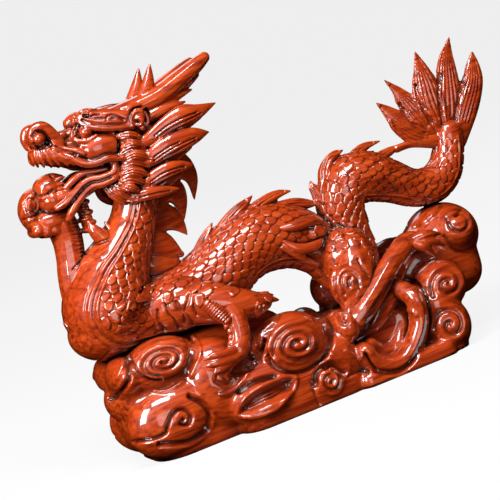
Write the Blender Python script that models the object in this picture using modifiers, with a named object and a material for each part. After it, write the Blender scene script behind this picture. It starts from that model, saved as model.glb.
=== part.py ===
# Dragon carved in one piece with its cloud plinth.
# X runs from the nose to the tail fin, the viewed side is -Y, and the plinth's flat underside is z = 0.

import math

import bmesh
import bpy
from mathutils import Vector

# Driving sizes in metres. The figure keeps its pose as shares of its length.
LENGTH = 0.420  # raised paw to tail fin
BODY_GIRTH = 0.058  # thickest part of the arched back
BASE_DEPTH = 0.124  # plinth, front to back
HEAD_WIDTH = 0.052  # across the cheeks
HORN_GIRTH = 0.017  # at the root of a horn
PEARL_DIAMETER = 0.019
CREST_HEIGHT = 0.011  # fin tips above the back
FIN_THICKNESS = 0.011  # tail fin at its root
RIDGE = 0.0036  # half width of the carved scroll ridges
CARVING_STEP = 0.0015  # finest form that the solid keeps
FACES_WANTED = 9800

UNIT = LENGTH / 420  # one share of the length: a millimetre at the size above
BODY = BODY_GIRTH / 2 / UNIT
DEPTH = BASE_DEPTH / 2 / UNIT
HEAD = HEAD_WIDTH / 2 / UNIT
HORN = HORN_GIRTH / 2 / UNIT
PEARL = PEARL_DIAMETER / 2 / UNIT
NEAR, FAR = -1, 1

# Middle line of the neck, body and tail: x, z and the radius as a share of the back's.
SPINE = (
    (-70, 226, 0.60),
    (-82, 202, 0.61),
    (-93, 181, 0.66),
    (-109, 162, 0.84),
    (-124, 144, 1.10),
    (-132, 122, 1.30),
    (-114, 112, 0.98),
    (-88, 111, 0.90),
    (-62, 113, 0.93),
    (-38, 120, 0.97),
    (-17, 131, 0.96),
    (6, 135, 0.96),
    (33, 128, 0.90),
    (54, 109, 0.76),
    (66, 86, 0.68),
    (76, 73, 0.64),
    (83, 95, 0.64),
    (82, 120, 0.66),
    (84, 141, 0.71),
    (95, 155, 0.74),
    (114, 154, 0.75),
    (133, 144, 0.63),
    (150, 133, 0.56),
    (168, 129, 0.56),
    (184, 136, 0.53),
    (194, 151, 0.47),
    (199, 166, 0.44),
)

figure = bmesh.new()
collection = bpy.data.collections.new("dragon_sculpture")
cutters = bpy.data.collections.new("cutters")


def clear_scene():
    for obj in list(bpy.data.objects):
        bpy.data.objects.remove(obj)
    bpy.context.scene.collection.children.link(collection)
    bpy.context.scene.collection.children.link(cutters)


def smooth_path(points, steps):
    """Points on a curve through the given rows, each column treated alike."""
    rows = [points[0], *points, points[-1]]
    path = []
    for a, b, c, d in zip(rows, rows[1:], rows[2:], rows[3:]):
        for step in range(steps):
            t = step / steps
            path.append(
                tuple(
                    0.5 * (2 * q + (r - p) * t + (2 * p - 5 * q + 4 * r - s) * t**2
                           + (3 * q - p - 3 * r + s) * t**3)
                    for p, q, r, s in zip(a, b, c, d)
                )
            )
    path.append(tuple(points[-1]))
    return path


def add_mesh(mesh):
    figure.from_mesh(mesh)
    bpy.data.meshes.remove(mesh)


def tube(points, flat=1.0, steps=5, sides=3):
    """A round stroke through rows of x, y, z, radius. Flat narrows its section across Y."""
    path = smooth_path(points, steps)
    curve = bpy.data.curves.new("stroke", "CURVE")
    curve.dimensions = "3D"
    curve.use_fill_caps = True
    curve.bevel_depth = UNIT
    curve.bevel_resolution = sides
    spline = curve.splines.new("POLY")
    spline.points.add(len(path) - 1)
    middle = sum(row[1] for row in path) / len(path)
    for point, (x, y, z, radius) in zip(spline.points, path):
        point.co = (x * UNIT, (y - middle) / flat * UNIT, z * UNIT, 1)
        point.radius = max(radius, 0.15)
    stroke = bpy.data.objects.new("stroke", curve)
    collection.objects.link(stroke)
    mesh = bpy.data.meshes.new_from_object(stroke.evaluated_get(bpy.context.evaluated_depsgraph_get()))
    for vertex in mesh.vertices:
        vertex.co.y = vertex.co.y * flat + middle * UNIT
    bpy.data.objects.remove(stroke)
    bpy.data.curves.remove(curve)
    add_mesh(mesh)


def ball(x, y, z, *radii):
    """An egg with its radii along X, Y and Z."""
    across = radii if len(radii) == 3 else radii * 3
    shape = bmesh.new()
    bmesh.ops.create_uvsphere(shape, u_segments=28, v_segments=16, radius=UNIT)
    bmesh.ops.scale(shape, vec=across, verts=shape.verts)
    bmesh.ops.translate(shape, vec=Vector((x, y, z)) * UNIT, verts=shape.verts)
    mesh = bpy.data.meshes.new("ball")
    shape.to_mesh(mesh)
    shape.free()
    add_mesh(mesh)


def ridge_on(centre, radii, side, line, radius):
    """A raised line of x, z points laid over the side of an egg."""
    rows = []
    for x, z in line:
        reach = 1 - ((x - centre[0]) / radii[0]) ** 2 - ((z - centre[2]) / radii[2]) ** 2
        rows.append((x, centre[1] + side * radii[1] * math.sqrt(max(reach, 0.02)), z, radius))
    tube(rows, steps=1)


def spiral(x, z, outer, turns, start=0.0, tall=1.0, turn=1):
    """Points of a scroll that winds in from its outer radius."""
    count = int(turns * 20)
    line = []
    for step in range(count + 1):
        share = step / count
        angle = math.radians(start) + turn * share * turns * 2 * math.pi
        reach = outer * (1 - 0.86 * share)
        line.append((x + reach * math.cos(angle), z + tall * reach * math.sin(angle)))
    return line


def scroll_on(centre, radii, line):
    """A scroll carved on a lobe whose depth is given as a share of the plinth's."""
    x, y, z = centre
    wide, deep, tall = radii
    side = NEAR if y < 0 else FAR
    ridge_on((x, y * DEPTH, z), (wide, deep * DEPTH, tall), side, line, RIDGE / UNIT)


def boss(x, y, z, wide, deep, high, side, scroll=0.0, turns=2.0, start=0.0, tall=1.0, turn=1, shift=(0, 0)):
    """A cloud lobe on one side of the plinth, with a scroll on it where a scroll radius is given."""
    ball(x, side * y * DEPTH, z, wide, deep * DEPTH, high)
    if scroll:
        line = spiral(x + shift[0], z + shift[1], scroll, turns, start, tall, turn)
        scroll_on((x, side * y, z), (wide, deep, high), line)


def build_body():
    tube([(x, 0, z, share * BODY) for x, z, share in SPINE], steps=6, sides=6)
    ball(-70, 0, 228, 22, 20, 22)
    # The chest swells out low in front.
    ball(-136, 0, 110, 35, 31, 25)


def back_frame(path, index):
    """The point, the way outwards and the distance to the back at one place on the middle line."""
    x, z, share = path[index]
    ahead = path[min(index + 1, len(path) - 1)]
    behind = path[max(index - 1, 0)]
    along = Vector((ahead[0] - behind[0], 0, ahead[1] - behind[1])).normalized()
    out = Vector((-along.z, 0, along.x))
    return Vector((x, 0, z)), out, share * BODY


def crest_fin(start, end, height):
    """One fin, rising along the back from start to end and ending in a hooked tip."""
    path = smooth_path(SPINE, 8)
    rows = []
    for share, above, thick in ((0.0, -3, 3.5), (0.4, -1, 6.5), (0.72, 0.35, 5.5), (1.0, 1.0, 0.6)):
        place = (start + (end - start) * share) * 8
        centre, out, radius = back_frame(path, int(place))
        lift = above * height if above > 0 else above
        point = centre + out * (radius + lift)
        rows.append((point.x, 0, point.z, thick))
    tube(rows, flat=0.62)


def build_crest():
    tip = CREST_HEIGHT / UNIT
    for start, end, height in (
        (7.8, 9.7, 1.1),
        (9.3, 11.5, 1.0),
        (11.0, 12.5, 1.3),
        (12.1, 13.0, 0.9),
        (17.4, 19.4, 0.9),
        (19.1, 20.9, 1.0),
    ):
        crest_fin(start, end, height * tip)
    # The last fin runs on into the lower edge of the tail fin.
    tube([(122, 0, 166, 4), (136, 0, 169, 4), (152, 0, 171, 4), (174, 0, 168, 6), (198, 0, 160, 8)], flat=0.8)
    # The short fin in the valley points up between the two arches.
    tube([(70, 0, 140, 5), (66, 0, 154, 4.5), (66, 0, 167, 0.8)], flat=0.7)
    # The neck's crest hangs behind the mane as broad leaves that point down.
    for rows in (
        ((-60, 222, 12), (-42, 214, 12), (-34, 201, 6), (-37, 184, 0.8)),
        ((-70, 204, 14), (-54, 197, 12), (-49, 187, 7), (-50, 172, 0.8)),
        ((-82, 184, 13), (-66, 178, 12), (-57, 170, 7), (-52, 159, 0.8)),
        ((-92, 164, 12), (-80, 160, 13), (-70, 152, 10), (-62, 146, 3)),
        ((-96, 148, 9), (-84, 143, 12), (-72, 138, 9)),
    ):
        tube([(x, 0, z, wide) for x, z, wide in rows], flat=0.5)


def build_tail_fin():
    thick = FIN_THICKNESS / 2 / UNIT
    for y, *rows in (
        (-1, (190, 164, 6), (168, 176, 10), (154, 194, 7), (142, 211, 0.8)),
        (1, (194, 168, 8), (178, 189, 12), (168, 208, 8), (157, 226, 0.8)),
        (-1.5, (196, 166, 10), (191, 192, 14), (189, 216, 9.5), (191, 241, 0.8)),
        (1, (200, 168, 10), (207, 194, 13), (217, 220, 9), (227, 244, 0.8)),
        (-1, (206, 162, 10), (224, 184, 14), (237, 203, 9.5), (243, 225, 1.5)),
    ):
        tube([(x, y, z, wide) for x, z, wide in rows], flat=thick / 12)
    # A smooth collar closes the scaled tail under the fin.
    ball(198, 0, 165, 14, 9, 9)


def build_skull():
    ball(-84, 0, 250, 30, HEAD * 0.9, 25)
    tube([(-100, 0, 266, 11), (-82, 0, 264, 13), (-66, 0, 262, 11)], flat=1.3)
    # Snout, with the fringe of the upper lip under it.
    tube([(-92, 0, 250, 20), (-112, 0, 251, 14), (-128, 0, 254, 12), (-143, 0, 260, 9)], flat=HEAD / 24)
    tube([(-118, 0, 248, 9), (-134, 0, 250, 8), (-149, 0, 256, 6)], flat=1.7)
    for step in range(6):
        x = -150 + step * 5.4
        for side in (NEAR, FAR):
            y = side * (4 + step * 1.5)
            tube([(x + 3, y, 256, 3), (x, y * 1.15, 249, 2.8), (x + 2, y, 243.5 - step * 0.8, 1.2)])
    # Two small humps on the bridge.
    for x, z, radius in ((-129, 265, 4.5), (-119, 265, 4)):
        for side in (NEAR, FAR):
            ball(x, side * 6, z, radius)


def build_face(side):
    # Nostril volute around its ball.
    scroll = spiral(-143, 269.5, 9.6, 1.3, start=-35, turn=1)
    tube([(x, side * 11.5, z, 3.6) for x, z in scroll], steps=1)
    ball(-143, side * 12, 269, 6.5, 6, 6.5)
    tube([(-126, side * 8, 261, 5), (-132, side * 10, 270, 5), (-140, side * 10, 276, 5)])
    # Eye, its lids and the cheek.
    ball(-110, side * 18.5, 260, 5.5)
    lids = (((-121, 258), (-113, 266.5), (-103, 262)), ((-120, 257), (-111, 253.5), (-102, 257)))
    for lid in lids:
        tube([(x, side * (20 if 0 < i < 2 else 18), z, 2.3) for i, (x, z) in enumerate(lid)])
    ball(-100, side * HEAD * 0.66, 247, 19, 9, 13)
    # Brow roll and the ridge under it, ending in the curled ear.
    tube([(-108, side * 14, 274, 6), (-98, side * 19, 268, 6.5), (-84, side * 22, 262, 6),
          (-68, side * 23, 257, 5)])
    tube([(-117, side * 17, 268, 3), (-102, side * 23, 261, 3.2), (-86, side * 25, 256.5, 3.2),
          (-70, side * 25, 252, 3)])
    ball(-68, side * 23, 257, 7, 5, 7)
    ear = spiral(-67, 257, 7, 1.2, start=120)
    tube([(x, side * 27, z, 1.8) for x, z in ear], steps=1)
    # Lip roll from the nostril back to the corner of the mouth.
    tube([(-136, side * 12, 262, 3.5), (-128, side * 14, 251.5, 3.2), (-118, side * 17, 249, 3.2),
          (-110, side * 20, 248, 2.5)])
    tube([(-131, side * 13, 250, 3), (-122, side * 17, 241, 3.4), (-110, side * 20, 236, 3.4),
          (-94, side * 22, 234, 3.4), (-78, side * 22, 230, 3)])


def build_horn(side):
    tube([(-84, side * 11, 266, HORN * 0.94), (-62, side * 14, 267, HORN), (-44, side * 16, 270, HORN),
          (-25, side * 17, 277, HORN * 0.9), (-8, side * 18, 285.5, HORN * 0.76), (1, side * 18, 290, HORN * 0.55)])
    tube([(-56, side * 15, 272, 6), (-49, side * 15, 283, 4.8), (-43, side * 15, 297, 1)])
    tube([(-62, side * 16, 262, 6), (-40, side * 17, 265, 6), (-17, side * 17, 268, 1)])
    tube([(-62, side * 18, 256, 5), (-44, side * 19, 258, 5), (-26, side * 19, 260.5, 1)])


def lock(points, side, strands):
    """A lock of hair: strands that lie side by side and meet at its tip."""
    for strand in range(strands):
        spread = (strand - (strands - 1) / 2) * 2 / strands
        rows = [
            (x, side * (y + 1.5 * (strand % 2)), z + spread * wide * 0.75, max(wide / strands * 1.25, 0.8))
            for x, y, z, wide in points
        ]
        tube(rows, flat=0.9)


def build_mane():
    ball(-62, 0, 236, 24, 22, 30)
    for side in (NEAR, FAR):
        for points in (
            ((-72, 22, 243, 7), (-50, 26, 245, 8), (-32, 27, 249.5, 9), (-6, 25, 251.5, 1)),
            ((-72, 22, 225, 6), (-52, 26, 229, 8), (-37, 27, 233, 8), (-17, 25, 232, 1)),
            ((-78, 20, 208, 5), (-62, 25, 211, 7), (-49, 25, 214, 6.5), (-36, 23, 212, 2)),
            ((-86, 18, 199, 4), (-72, 22, 200, 5), (-55, 21, 199, 1.5)),
        ):
            lock(points, side, 3)
        # Short tufts between the cheek and the long locks, and behind the jaw.
        for step in range(7):
            z = 250 - step * 7
            back = step * 1.4
            tube([(-88 - back, side * 22, z, 3), (-80 - back, side * 26, z - 2, 3.6),
                  (-71 - back, side * 26, z - 5, 2.6)])
        for x, z in ((-106, 216), (-99, 217), (-92, 219)):
            tube([(x - 2, side * 14, z, 4), (x + 4, side * 16, z - 8, 4), (x + 12, side * 15, z - 16, 2)])


def build_jaw():
    tube([(-84, 0, 228, 11), (-104, 0, 226, 8.5), (-124, 0, 220, 7.5), (-142, 0, 219, 9)], flat=1.5)
    # The chin curls up in front.
    ball(-148, 0, 219, 11, 12, 10)
    tube([(-153, 0, 225, 8), (-151, 0, 232, 8), (-143, 0, 236, 5), (-135, 0, 234, 2.5)], flat=1.4)
    tube([(-130, 0, 226, 4), (-118, 0, 231, 5), (-102, 0, 232, 4)], flat=1.8)
    for side in (NEAR, FAR):
        tube([(-136, side * 7, 224, 2.5), (-136, side * 7, 230, 1.8), (-139, side * 7, 235, 0.8)])
        # Two rolls of the lower lip run forward and down from the corner of the mouth.
        tube([(-98, side * 18, 227, 3.8), (-114, side * 15, 224.5, 3.8), (-129, side * 13, 218, 3.8),
              (-143, side * 12, 209, 3.4)])
        tube([(-96, side * 18, 221, 3.8), (-118, side * 14, 218, 3.8), (-129, side * 12, 211, 3.8),
              (-137, side * 10, 201, 3.6)])
        corner = spiral(-103, 228, 7, 0.8, start=200, turn=-1, tall=0.8)
        tube([(x, side * 20, z, 2.8) for x, z in corner], steps=1)


def build_raised_leg():
    """The far foreleg lifts the pearl in front of the chin."""
    side = 6
    ball(-163, side, 221, PEARL)
    ball(-154, side, 204, 18, 13, 11)
    # Finger tips under the fist, then a thumb and a finger that hold the pearl.
    for reach in (-8, 8):
        for x, z in ((-167, 198), (-161, 195), (-154, 195)):
            tube([(x + 5, side + reach, 206, 5), (x + 1, side + reach * 1.2, 201, 4), (x, side + reach, z, 2.4)])
        tube([(-150, side + reach, 208, 5), (-160, side + reach * 1.25, 210, 4), (-170, side + reach, 213, 3),
              (-173, side + reach * 0.5, 219, 1.8)])
    tube([(-146, side, 200, 13), (-145, side, 186, 12), (-151, side, 174, 8), (-157, side, 162, 7),
          (-158, side, 148, 9), (-152, side, 134, 14)])
    tube([(-140, side, 194, 10), (-136, side, 182, 9.5), (-133, side, 172, 7), (-132, side, 162, 8)])
    # The braided fringe behind the fist, and the flame leaves that lie on the chest.
    for step in range(6):
        ball(-128 + step % 2 * 2, 0, 189 + step * 4.2, 6, 9, 3)
    tube([(-118, -6, 166, 6), (-120, -8, 180, 6.5), (-127, -6, 195, 1.4)], flat=1.1)
    tube([(-112, -6, 164, 5), (-111, -8, 176, 4.5), (-115, -6, 190, 1.2)], flat=1.1)


def build_near_foreleg():
    ball(-82, -17, 111, 34, 17, 21)
    tube([(-88, -12, 110, 16), (-70, -26, 108, 17), (-52, -35, 101, 15), (-32, -40, 94, 11), (-22, -40, 92, 7)])
    tube([(-36, -38, 96, 8), (-40, -43, 89, 13), (-50, -48, 80, 13), (-59, -52, 70, 11), (-68, -54, 60, 9)])
    # Curls at the elbow.
    for x, z in ((-6, 88), (-10, 98), (-16, 81)):
        tube([(-34, -40, 93, 8), (x - 9, -42, z, 5.5), (x, -39, z - 2, 1.4)])
    ball(-71, -52, 56, 12, 8, 9)
    for x, z in ((-91, 61), (-88, 49), (-76, 41), (-60, 43)):
        tube([(-70, -55, 57, 5.5), ((x - 70) / 2, -59, (z + 60) / 2, 4.4), (x, -56, z, 1.4)])
    # Fringe down the front of the forearm.
    for step in range(4):
        x = -60 - step * 2
        z = 98 - step * 9
        tube([(x, -42, z, 5), (x - 8, -43, z - 5, 4), (x - 9, -42, z - 12, 1.2)])


def build_hind_leg(side):
    # The far leg stands a little further back and lower.
    back = 14 if side == FAR else 0
    drop = 9 if side == FAR else 0
    ball(64 + back, side * 20, 98 - drop, 20, 18, 27)
    ball(52 + back, side * 38, 81 - drop, 16, 14, 18)
    swirl = spiral(51 + back, 80 - drop, 12, 1.4, start=60)
    ridge_on((52 + back, side * 38, 81 - drop), (16, 14, 18), side, swirl, 2.8)
    # The shank runs up to the foot, over the open scroll.
    shank = ((32, 46, 44, 3), (48, 47, 54, 9), (68, 46, 68, 10), (88, 44, 83, 9), (108, 38, 94, 9))
    tube([(x + back, side * y, z - drop, wide) for x, y, z, wide in shank])
    under = ((44, 44, 40, 4), (60, 44, 45, 9), (80, 41, 59, 10), (98, 36, 77, 8))
    tube([(x + back, side * y, z - drop, wide) for x, y, z, wide in under])
    ball(116 + back, side * 34, 95 - drop, 14, 11, 9)
    for x, z in ((143, 84), (142, 94), (132, 78)):
        tube([(116 + back, side * 38, 95 - drop, 6),
              ((x + 116) / 2 + back, side * 44, (z + 100) / 2 - drop, 4.6),
              (x + back, side * 42, z - drop, 1.4)])
    # Flame on the haunch.
    tube([(12, side * 24, 141, 2), (28, side * 27, 138, 4.5), (46, side * 25, 138, 4.5), (59, side * 20, 130, 2)])
    tube([(22, side * 26, 131, 2), (36, side * 28, 119, 4.5), (52, side * 25, 117, 4.5), (60, side * 19, 123, 2)])
    ball(45, side * 18, 128, 12, 9, 8)
    tube([(20, side * 26, 128, 2), (34, side * 25, 115, 3.4), (47, side * 22, 98, 2)])


def block(left, right, front, back, low, high, rounding):
    """A stretch of the plinth with well rounded edges."""
    shape = bmesh.new()
    bmesh.ops.create_cube(shape, size=1)
    bmesh.ops.scale(shape, vec=Vector((right - left, back - front, high - low)) * UNIT, verts=shape.verts)
    middle = Vector((left + right, front + back, low + high)) / 2
    bmesh.ops.translate(shape, vec=middle * UNIT, verts=shape.verts)
    bmesh.ops.bevel(shape, geom=shape.edges[:], offset=rounding * UNIT, segments=5, profile=0.5, affect="EDGES")
    mesh = bpy.data.meshes.new("block")
    shape.to_mesh(mesh)
    shape.free()
    add_mesh(mesh)


def rim(x, z, wide, tall, radius, side, y):
    """An eye-shaped lip round a hollow."""
    rows = []
    for step in range(25):
        angle = step / 24 * 2 * math.pi
        pinch = math.sin(angle) * abs(math.sin(angle)) ** 0.3
        rows.append((x + wide * math.cos(angle), side * y * DEPTH, z + tall * pinch, radius))
    tube(rows, steps=1)


def build_base():
    # The core stops short of the lobes, so that they stand out from it.
    block(-139, -50, -0.62 * DEPTH, 0.62 * DEPTH, -22, 62, 24)
    ball(-105, 0, 32, 50, DEPTH * 0.74, 41)
    block(-146, -45, -0.42 * DEPTH, 0.42 * DEPTH, 10, 86, 12)
    ball(-119, 0, 52, 41, DEPTH * 0.55, 27)
    block(-72, 138, -0.6 * DEPTH, 0.93 * DEPTH, -14, 56, 17)
    # On the viewed side the plinth is open between x = 48 and 100, where the large scroll lies in a hollow.
    block(-72, 48, -0.95 * DEPTH, 0, -14, 56, 14)
    block(100, 138, -0.95 * DEPTH, 0, -14, 56, 14)
    block(30, 120, -1.02 * DEPTH, 0, -14, 7, 6)
    # Column at the tail end.
    block(122, 186, -0.5 * DEPTH, 0.5 * DEPTH, 34, 92, 22)
    ball(164, 0, 86, 31, DEPTH * 0.58, 28)
    tube([(106, 0, 54, 14), (126, 0, 74, 16), (150, 0, 88, 18)], flat=1.6)
    for side in (NEAR, FAR):
        # Lobes of the low end.
        boss(-115, 0.42, 73, 33, 0.34, 22, side, 25, 1.7, start=150, tall=0.66, turn=-1, shift=(0, 6))
        boss(-143, 0.26, 72, 14, 0.38, 17, side)
        boss(-118, 0.40, 28, 36, 0.34, 28, side)
        boss(-72, 0.44, 44, 34, 0.36, 36, side)
        # Lobes of the middle.
        boss(-4, 0.62, 51, 35, 0.38, 25, side, 28, 1.8, start=150, tall=0.76, turn=-1, shift=(0, 2))
        boss(-46, 0.66, 14, 34, 0.34, 22, side)
        boss(11, 0.70, 15, 21, 0.30, 20, side, 13, 1.2, start=100)
        boss(38, 0.58, 50, 15, 0.36, 16, side)
        # Lobes of the column.
        boss(132, 0.54, 52, 23, 0.36, 22, side, 17, 1.4, start=200)
        boss(124, 0.64, 21, 21, 0.36, 24, side)
        boss(165, 0.38, 90, 18, 0.30, 17, side)
    # The viewed side has more scrolls, a leaf-shaped hollow and a large open scroll in a thick lip.
    scroll_on((-143, -0.26, 72), (14, 0.38, 17), spiral(-143, 72, 10, 1.0))
    scroll_on((-118, -0.40, 28), (36, 0.34, 28), spiral(-114, 29, 18, 1.3, start=170, tall=0.8, turn=-1))
    scroll_on((38, -0.58, 50), (15, 0.36, 16), spiral(38, 50, 8, 1.0, tall=0.8))
    scroll_on((124, -0.64, 21), (21, 0.36, 24), spiral(124, 21, 14, 1.2, start=150))
    scroll_on((165, -0.38, 90), (18, 0.30, 17), spiral(165, 90, 10, 1.2, start=40))
    rim(-46, 20, 27, 10, 3.6, NEAR, 0.94)
    lip = ((46, 36), (54, 12), (76, 5), (98, 16), (106, 40), (98, 62), (84, 68))
    tube([(x, NEAR * DEPTH * 0.96, z, 7.5) for x, z in lip])
    curl = spiral(77, 34, 15, 1.0, start=120, turn=-1)
    tube([(x, NEAR * DEPTH * (0.8 - 0.004 * i), z, 4.4) for i, (x, z) in enumerate(curl)], steps=1)


def flat_underside(obj):
    """A cutter takes off what lies under z = 0."""
    bpy.ops.mesh.primitive_cube_add(size=1)
    cutter = bpy.context.object
    cutter.name = "ground"
    cutter.scale = (LENGTH * 2, LENGTH, 0.1)
    cutter.location = (0, 0, -0.05)
    bpy.context.collection.objects.unlink(cutter)
    cutters.objects.link(cutter)
    cutter.hide_render = True
    cutter.display_type = "WIRE"
    cut = obj.modifiers.new("underside", "BOOLEAN")
    cut.operation = "DIFFERENCE"
    cut.object = cutter


def rosewood():
    """Clear-lacquered rosewood: warm red-brown under a smooth gloss."""
    material = bpy.data.materials.new("lacquered_rosewood")
    material.use_nodes = True
    surface = material.node_tree.nodes["Principled BSDF"]
    surface.inputs["Base Color"].default_value = (0.36, 0.055, 0.012, 1)
    surface.inputs["Roughness"].default_value = 0.22
    surface.inputs["Metallic"].default_value = 0.0
    return material


def join_forms():
    """All forms become one skin, thinned to the wanted number of faces."""
    mesh = bpy.data.meshes.new("dragon_sculpture")
    figure.to_mesh(mesh)
    figure.free()
    mesh.materials.append(rosewood())
    mesh.shade_smooth()
    obj = bpy.data.objects.new("dragon_sculpture", mesh)
    collection.objects.link(obj)
    skin = obj.modifiers.new("skin", "REMESH")
    skin.mode = "VOXEL"
    skin.voxel_size = CARVING_STEP
    skin.use_smooth_shade = True
    soften = obj.modifiers.new("soften", "SMOOTH")
    soften.factor = 0.5
    soften.iterations = 2
    bpy.context.view_layer.update()
    dense = obj.evaluated_get(bpy.context.evaluated_depsgraph_get())
    thin = obj.modifiers.new("thin", "DECIMATE")
    thin.ratio = FACES_WANTED / (2 * len(dense.data.polygons))
    return obj


clear_scene()
build_body()
build_crest()
build_tail_fin()
build_skull()
for face_side in (NEAR, FAR):
    build_face(face_side)
    build_horn(face_side)
    build_hind_leg(face_side)
build_mane()
build_jaw()
build_raised_leg()
build_near_foreleg()
build_base()
flat_underside(join_forms())
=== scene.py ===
import math

import bpy
import numpy as np
from mathutils import Matrix, Vector
from mathutils.bvhtree import BVHTree


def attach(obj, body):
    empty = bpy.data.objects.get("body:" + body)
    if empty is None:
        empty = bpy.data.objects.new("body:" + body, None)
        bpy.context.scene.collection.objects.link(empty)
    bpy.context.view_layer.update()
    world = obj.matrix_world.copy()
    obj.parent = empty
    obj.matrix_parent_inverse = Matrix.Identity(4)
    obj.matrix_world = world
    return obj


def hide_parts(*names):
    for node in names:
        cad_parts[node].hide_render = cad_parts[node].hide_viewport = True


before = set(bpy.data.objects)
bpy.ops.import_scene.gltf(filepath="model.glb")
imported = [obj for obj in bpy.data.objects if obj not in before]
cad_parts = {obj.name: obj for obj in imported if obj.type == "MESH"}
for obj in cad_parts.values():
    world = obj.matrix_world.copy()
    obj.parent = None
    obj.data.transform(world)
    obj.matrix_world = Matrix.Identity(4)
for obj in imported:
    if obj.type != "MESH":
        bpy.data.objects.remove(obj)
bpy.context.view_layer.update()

# Rosewood dragon on its cloud plinth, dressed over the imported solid.
# Numbers on the carving are millimetres: x from the nose to the tail, y away from the viewed side,
# z up from the underside.
mm = 0.001
near, far = -1, 1
eyePoint = (-447.2, -1214.9, 265.9)  # drawn lines are laid on the wood as seen from here
forms = []  # what the next piece is fused from


def deselectAll():
    bpy.ops.object.select_all(action="DESELECT")


def selectOnly(piece):
    deselectAll()
    bpy.context.view_layer.objects.active = piece
    piece.select_set(True)


def applyModifier(piece, kind, **settings):
    bpy.ops.object.modifier_add(type=kind)
    modifier = piece.modifiers[-1]
    for name, value in settings.items():
        setattr(modifier, name, value)
    bpy.ops.object.modifier_apply(modifier=modifier.name)


# A curve through rows of numbers, each column treated alike.
def smoothRows(rows, steps):
    points = np.array(rows, float)
    held = np.vstack([points[:1], points, points[-1:]])
    t = (np.arange(steps) / steps)[:, None]
    parts = []
    for a, b, c, d in zip(held, held[1:], held[2:], held[3:]):
        parts.append(0.5 * (2 * b + (c - a) * t + (2 * a - 5 * b + 4 * c - d) * t**2
                            + (3 * b - a - 3 * c + d) * t**3))
    return np.vstack(parts + [points[-1:]])


# The way along a path of x, z and the way square to it, out to the left.
def waysOf(path):
    along = np.gradient(path[:, :2], axis=0)
    along /= np.linalg.norm(along, axis=1)[:, None]
    return along, np.column_stack([-along[:, 1], along[:, 0]])


# A round stroke through rows of x, y, z, radius. Flat is its thickness across y as a share.
def stroke(rows, flat=1.0, steps=5, sides=4):
    path = smoothRows(rows, steps)
    start, end = path[0], path[-1]
    for tip, inner, put in ((start, path[1], 0), (end, path[-2], len(path))):
        away = tip[:3] - inner[:3]
        away = away / (np.linalg.norm(away) + 1e-9)
        cap = [np.append(tip[:3] + away * tip[3] * reach, tip[3] * wide)
               for reach, wide in ((0.5, 0.87), (0.87, 0.5), (1.0, 0.12))]
        path = np.vstack([cap[::-1], path]) if put == 0 else np.vstack([path, cap])
    middle = path[:, 1].mean()
    curve = bpy.data.curves.new("stroke", "CURVE")
    curve.dimensions = "3D"
    curve.use_fill_caps = True
    curve.bevel_depth = mm
    curve.bevel_resolution = sides
    spline = curve.splines.new("POLY")
    spline.points.add(len(path) - 1)
    places = np.column_stack([path[:, 0] * mm, (path[:, 1] - middle) * mm / flat, path[:, 2] * mm,
                              np.ones(len(path))])
    spline.points.foreach_set("co", places.ravel())
    spline.points.foreach_set("radius", np.maximum(path[:, 3], 0.12))
    obj = bpy.data.objects.new("stroke", curve)
    obj.scale = (1, flat, 1)
    obj.location = (0, middle * mm, 0)
    bpy.context.scene.collection.objects.link(obj)
    forms.append(obj)


# An egg with three radii, or a ball with one.
def egg(x, y, z, *radii):
    across = radii if len(radii) == 3 else radii * 3
    bpy.ops.mesh.primitive_uv_sphere_add(segments=32, ring_count=18, radius=mm,
                                         location=(x * mm, y * mm, z * mm), scale=across)
    forms.append(bpy.context.object)


# A stretch of the plinth with well rounded edges.
def block(left, right, front, back, low, high, rounding):
    centre = ((left + right) * mm / 2, (front + back) * mm / 2, (low + high) * mm / 2)
    bpy.ops.mesh.primitive_cube_add(size=mm, location=centre,
                                    scale=(right - left, back - front, high - low))
    bpy.ops.object.transform_apply(location=False, rotation=False, scale=True)
    bpy.ops.object.mode_set(mode="EDIT")
    bpy.ops.mesh.bevel(offset=rounding * mm, segments=7, profile=0.5)
    bpy.ops.object.mode_set(mode="OBJECT")
    forms.append(bpy.context.object)


# Fuses the forms into one closed skin, as if cut from one block.
def fuseForms(name, voxel, passes=2):
    deselectAll()
    for form in forms:
        form.select_set(True)
    bpy.context.view_layer.objects.active = forms[0]
    bpy.ops.object.convert(target="MESH")
    bpy.ops.object.transform_apply(location=True, rotation=True, scale=True)
    bpy.ops.object.join()
    piece = bpy.context.object
    forms.clear()
    piece.name = name
    piece.data.name = name
    applyModifier(piece, "REMESH", mode="VOXEL", voxel_size=voxel * mm)
    applyModifier(piece, "SMOOTH", factor=0.5, iterations=passes)
    print(name, "fused:", len(piece.data.polygons), "faces")
    return piece


def readPoints(piece):
    places = np.empty(len(piece.data.vertices) * 3)
    piece.data.vertices.foreach_get("co", places)
    outward = np.empty(len(piece.data.vertices) * 3, np.float32)
    piece.data.vertex_normals.foreach_get("vector", outward)
    return places.reshape(-1, 3) / mm, outward.reshape(-1, 3).astype(float)


def writePoints(piece, places):
    piece.data.vertices.foreach_set("co", (places * mm).ravel())
    piece.data.update()


# Distance from each point to the nearest of several lines, left large where it is beyond reach.
def distanceTo(points, lines, reach):
    nearest = np.full(len(points), 1e3)
    for line in lines:
        line = np.asarray(line, float)
        low, high = line.min(0) - reach, line.max(0) + reach
        close = np.nonzero(((points >= low) & (points <= high)).all(1))[0]
        if not len(close):
            continue
        some = points[close]
        best = np.full(len(close), 1e3)
        for a, b in zip(line, line[1:]):
            way = b - a
            share = np.clip(((some - a) @ way) / (way @ way + 1e-12), 0, 1)
            gap = some - a - share[:, None] * way
            best = np.minimum(best, np.sqrt((gap * gap).sum(1)))
        nearest[close] = np.minimum(nearest[close], best)
    return nearest


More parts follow.
